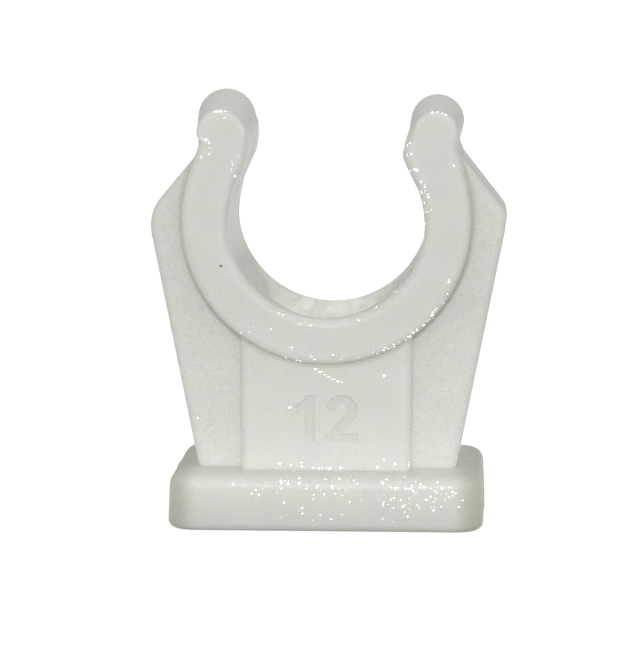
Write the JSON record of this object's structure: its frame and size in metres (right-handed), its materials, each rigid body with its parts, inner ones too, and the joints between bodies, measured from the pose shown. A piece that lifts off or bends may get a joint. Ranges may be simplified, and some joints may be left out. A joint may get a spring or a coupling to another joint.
{
  "type": "pipe clip",
  "caption": "Snap-in clip that holds a 12 mm pipe off a wall: open round saddle with flared lips on a stem with buttress ribs and a base plate, with a countersunk screw hole.",
  "frame": {"origin": "centre of the base plate's mounting face", "axes": "+X across the clip, +Y along the pipe, +Z out from the wall, from the base to the saddle's mouth"},
  "size_m": [0.0218, 0.0136, 0.0262],
  "materials": {
    "moulding": "fine matt mould texture"
  },
  "bodies": {
    "root": {"pipe_clip": "moulding"}
  },
  "joints": []
}
